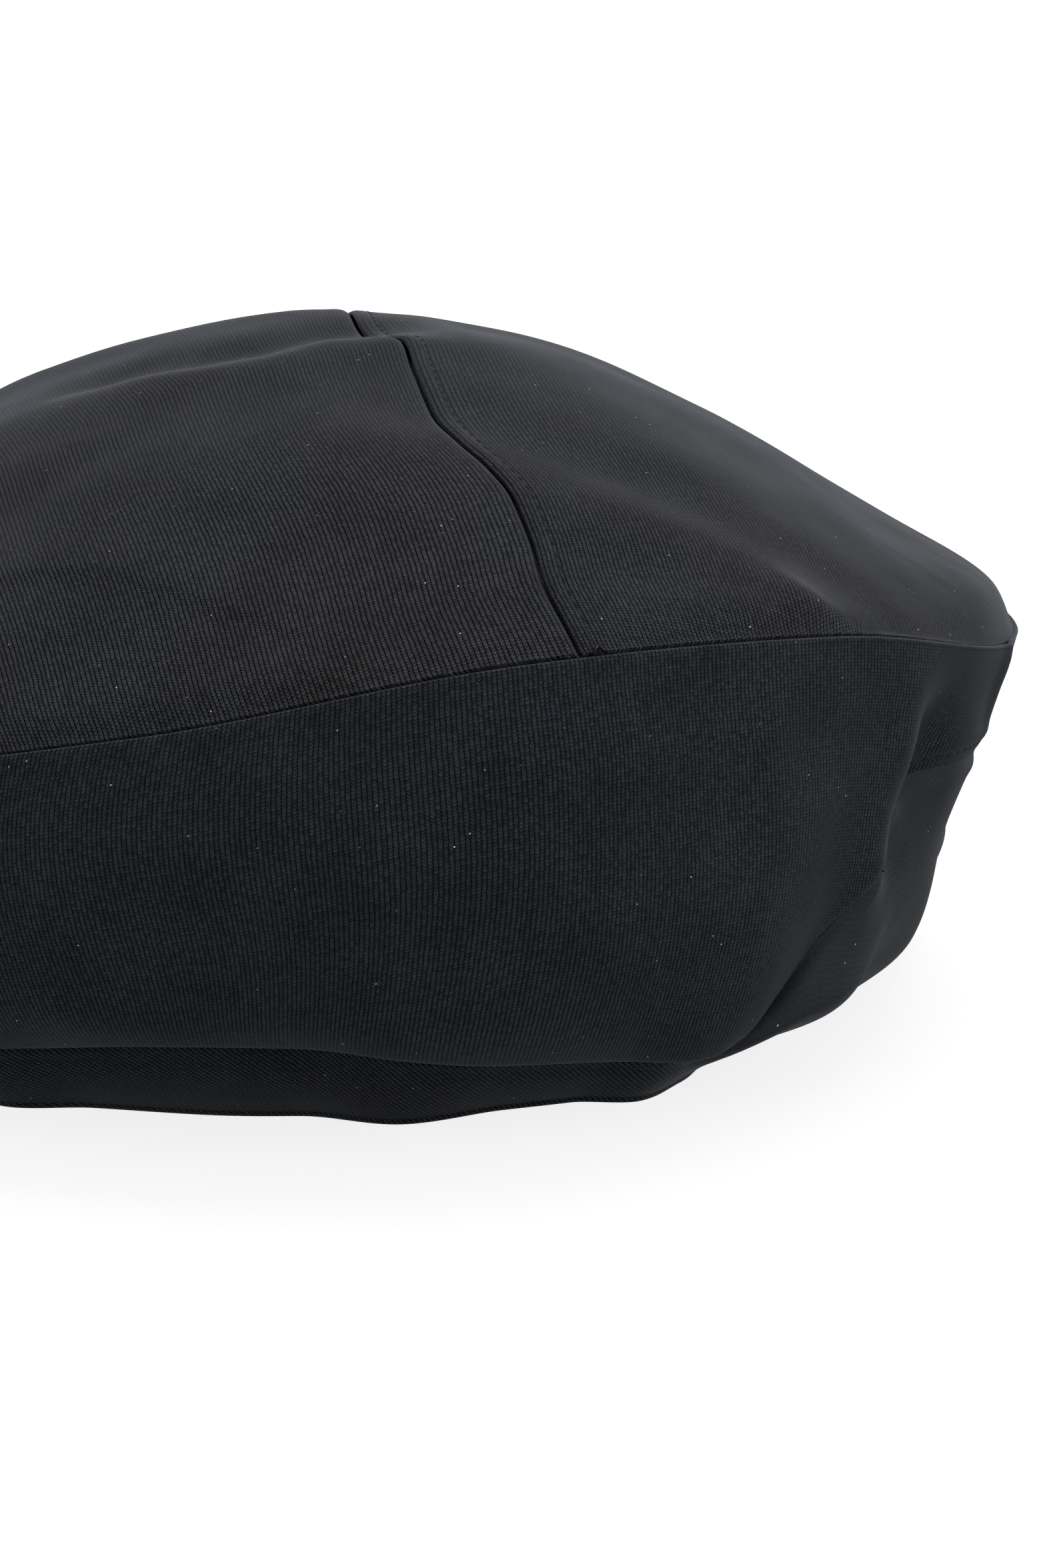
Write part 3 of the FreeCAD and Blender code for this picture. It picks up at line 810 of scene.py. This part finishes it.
def knit(name, colour, painted_stitch_shade, depth, painted_sheen_from, worn_and_painted_light_span=None):
    """Weft-knit jersey: V-shaped stitches, fuzz, slight mottling and lint, with painted shade
    where the cloth faces down and a painted sheen towards grazing angles.

    contrast is the painted shade in the grooves and the painted light on the stitch tops,
    and depth the strength of their relief. glow is how far the cloth turns away from the
    eye, from 0 to 1, when the painted sheen starts over its fuzz and the painted shade of
    the grooves fades. On a bias cloth, worn is where around it the fuzz is full at any
    angle and the cloth is also painted lighter: first sign, full, last full and end, along u - v.
    """
    g = Graph(name)
    cloth, u, v = g.cloth()
    stitch, uneven = stitches(g, cloth, u, v)
    fuzz = g.noise(cloth, 3.1, 3.0)
    height = g.plus(stitch, g.times(fuzz, 0.45))

    # Painted sheen: towards grazing angles the base colour is made up to 2.55 times lighter where the
    # cloth faces up, and the painted shade of the grooves fades out.
    facing = g.facing()
    even = g.range(facing, painted_sheen_from - 0.1, painted_sheen_from + 0.4, 0.0, 0.85)
    # Painted shade: cloth that faces down is made darker, down to 0.7 of its colour, and gets no
    # painted sheen.
    painted_top_light = g.upward(-0.4, 0.28)
    painted_sheen = g.range(facing, painted_sheen_from, 1.0)
    painted_light_and_shade = g.plus(g.times(painted_sheen, painted_sheen, g.times(painted_top_light, 1.55)), g.plus(0.7, g.times(painted_top_light, 0.3)))
    # On the band's rubbed stretch fuzz evens out the stitches, and the stretch is also painted
    # lighter, up to 1.9 times.
    if worn_and_painted_light_span:
        around = g.minus(u, v)
        worn_and_painted_light = g.times(g.range(around, *worn_and_painted_light_span[:2]), g.range(around, *worn_and_painted_light_span[2:], 1.0, 0.0))
        even = g.math("MAXIMUM", even, g.times(worn_and_painted_light, 0.92))
        painted_light_and_shade = g.times(painted_light_and_shade, g.plus(1.0, g.times(worn_and_painted_light, 0.9)))

    cloudy = g.range(g.noise(cloth, 0.06, 3.0), 0.3, 0.7, 0.88, 1.12)
    grain = g.range(g.noise(cloth, 2.3, 2.0), 0.3, 0.7, 0.84, 1.16)
    low, high = 0.25, 1.15
    # Painted shade in the stitches' grooves and painted light on their tops, times a tone that
    # differs at random from stitch to stitch.
    shade = g.blend(g.times(g.range(height, low, high, *painted_stitch_shade), uneven), 1.0, even)
    shaded = g.node("VectorMath")
    shaded.operation = "SCALE"
    patches = g.range(g.noise(cloth, 0.016), 0.36, 0.64)
    tints = [tuple(c * t for c, t in zip(colour, tint)) for tint in (WARM, COOL)]
    g.link(shaded.inputs[0], g.mix(patches, *tints))
    g.link(shaded.inputs["Scale"], g.times(shade, cloudy, grain, painted_light_and_shade))

    g.set("Base Color", specks(g, cloth, shaded.outputs[0]))
    g.set("Roughness", g.range(fuzz, 0.2, 0.8, 0.78, 0.95))
    g.set("Specular IOR Level", g.blend(g.range(height, low, high, 0.0, 0.08), 0.04, even))
    g.set("Sheen Weight", 0.035)
    g.set("Sheen Roughness", 0.35)
    g.set("Sheen Tint", (0.80, 0.88, 1.0, 1.0))
    g.bump(g.times(height, g.minus(1.0, g.times(even, 0.8))), 0.22, depth)
    return g.material


def ribbed(name, colour, pitch, depth, rough):
    """Woven cloth with a rib every pitch millimetres across its width."""
    g = Graph(name)
    cloth, u, v = g.cloth()
    rib = g.math("SINE", g.times(u, 2 * math.pi / pitch))
    pick = g.math("SINE", g.times(v, 2 * math.pi / 0.35))
    cloudy = g.noise(cloth, 0.3)
    height = g.plus(g.plus(rib, g.times(pick, 0.25)), g.times(cloudy, 0.4))
    g.set("Base Color", g.mix(g.range(height, -1.0, 1.4), tinted(colour, 0.55), tinted(colour, 1.35)))
    g.set("Roughness", g.range(cloudy, 0.2, 0.8, rough, rough + 0.15))
    g.set("Sheen Weight", 0.12)
    g.bump(height, depth)
    return g.material


def thread_material(name, colour):
    """Dull spun thread."""
    g = Graph(name)
    twist = g.noise(g.node("TexCoord").outputs["Object"], 2600.0, 1.0)
    g.set("Base Color", g.mix(twist, tinted(colour, 0.6), tinted(colour, 1.6)))
    g.set("Roughness", g.range(twist, 0.2, 0.8, 0.75, 0.95))
    g.set("Specular IOR Level", 0.1)
    g.bump(twist, 0.05)
    return g.material


# ---- surroundings --------------------------------------------------------------------
def floor_material():
    """Matt white that also glows, so that it stays pale out to the horizon."""
    g = Graph("floor_white")
    mottle = g.noise(g.node("TexCoord").outputs["Object"], 3.0)
    g.set("Base Color", g.mix(mottle, tinted(FLOOR_COLOUR, 0.995), FLOOR_COLOUR))
    g.set("Roughness", 0.8)
    g.set("Emission Color", (1.0, 1.0, 1.0, 1.0))
    g.set("Emission Strength", 0.825)
    return g.material


def make_floor():
    half = 12.0
    corners = [(-half, -half, 0.0), (half, -half, 0.0), (half, half, 0.0), (-half, half, 0.0)]
    mesh = bpy.data.meshes.new("floor")
    mesh.from_pydata(corners, [], [(0, 1, 2, 3)])
    mesh.materials.append(floor_material())
    floor = bpy.data.objects.new("floor", mesh)
    bpy.context.scene.collection.objects.link(floor)


def aim(thing, target):
    thing.rotation_euler = (Vector(target) - thing.location).to_track_quat("-Z", "Y").to_euler()


def softbox(name, place, target, size, watts):
    light = bpy.data.lights.new(name, "AREA")
    light.shape = "RECTANGLE"
    light.size, light.size_y = size
    light.energy = watts
    lamp = bpy.data.objects.new(name, light)
    lamp.location = place
    bpy.context.scene.collection.objects.link(lamp)
    aim(lamp, target)


def make_world():
    world = bpy.data.worlds.new("studio")
    world.use_nodes = True
    world.node_tree.nodes["Background"].inputs["Color"].default_value = (1.0, 1.0, 1.0, 1.0)
    world.node_tree.nodes["Background"].inputs["Strength"].default_value = 1.0
    bpy.context.scene.world = world
    bpy.context.scene.view_settings.view_transform = "Standard"


def make_camera():
    azimuth, elevation = math.radians(CAMERA["azimuth"]), math.radians(CAMERA["elevation"])
    target = Vector(CAMERA["target"]) * MM
    back = Vector((math.sin(azimuth) * math.cos(elevation), -math.cos(azimuth) * math.cos(elevation),
                   math.sin(elevation)))
    data = bpy.data.cameras.new("camera")
    data.lens, data.sensor_width = CAMERA["lens"], 36.0
    camera = bpy.data.objects.new("camera", data)
    camera.location = target + back * CAMERA["distance"] * MM
    bpy.context.scene.collection.objects.link(camera)
    aim(camera, target)
    bpy.context.scene.camera = camera


make_camera()
make_floor()
make_world()
softbox("overhead", (0.25, 0.45, 1.6), (0.0, 0.0, 0.08), (1.2, 1.0), 30.0)
softbox("right_side", (1.25, -0.7, 0.5), (0.05, 0.0, 0.06), (0.9, 0.7), 9.0)

crown_knit = knit("crown_jersey", CROWN_BLACK, (0.2, 1.8), 0.8, 0.46)
side_knit = knit("side_jersey", SIDE_BLACK, (0.36, 1.55), 0.7, 0.38)
# Its last four numbers give the band's rubbed stretch, which is also painted lighter.
band_knit = knit("band_jersey", BAND_SHADED_BLACK, (0.2, 1.8), 0.8, 0.38, (35.0, 65.0, 190.0, 260.0))
lining_cloth = ribbed("lining_taffeta", LINING_BLACK, 0.3, 0.04, 0.45)
ribbon_cloth = ribbed("grosgrain", RIBBON_BLACK, 0.9, 0.22, 0.6)
label_cloth = ribbed("label_satin", LABEL_GREY, 0.4, 0.05, 0.5)
thread = thread_material("sewing_thread", THREAD_BLACK)

front_ends, back_ends = JOIN_PHI, (JOIN_PHI[1], JOIN_PHI[0] + 360.0)
crown_piece("crown_panel_left", -1, crown_knit)
crown_piece("crown_panel_right", 1, crown_knit)
sides = [side_piece(name, low + JOIN_GAP, high - JOIN_GAP, side_knit)
         for name, (low, high) in (("side_panel_front", front_ends), ("side_panel_back", back_ends))]
band_piece(band_knit)
crown_threads(thread)
band_threads(sides, thread)
crown_lining("crown_lining_left", -1, lining_cloth)
crown_lining("crown_lining_right", 1, lining_cloth)
for name, (low, high) in (("side_lining_front", front_ends), ("side_lining_back", back_ends)):
    hanging(name, (low + LINING_JOIN_GAP, high - LINING_JOIN_GAP), 260, lining_low, lining_high,
            LINING, 0.7, lining_cloth, "lining")
hanging("sweatband", RING_ENDS, 520, *[ribbon_edge(z) for z in RIBBON_EDGES],
        RIBBON, 0.15, ribbon_cloth, "ribbon")
hanging("blank_label", LABEL_PHI, 40, *[ribbon_edge(z, LABEL_INSET) for z in LABEL_EDGES],
        LABEL, 0.05, label_cloth, "label")
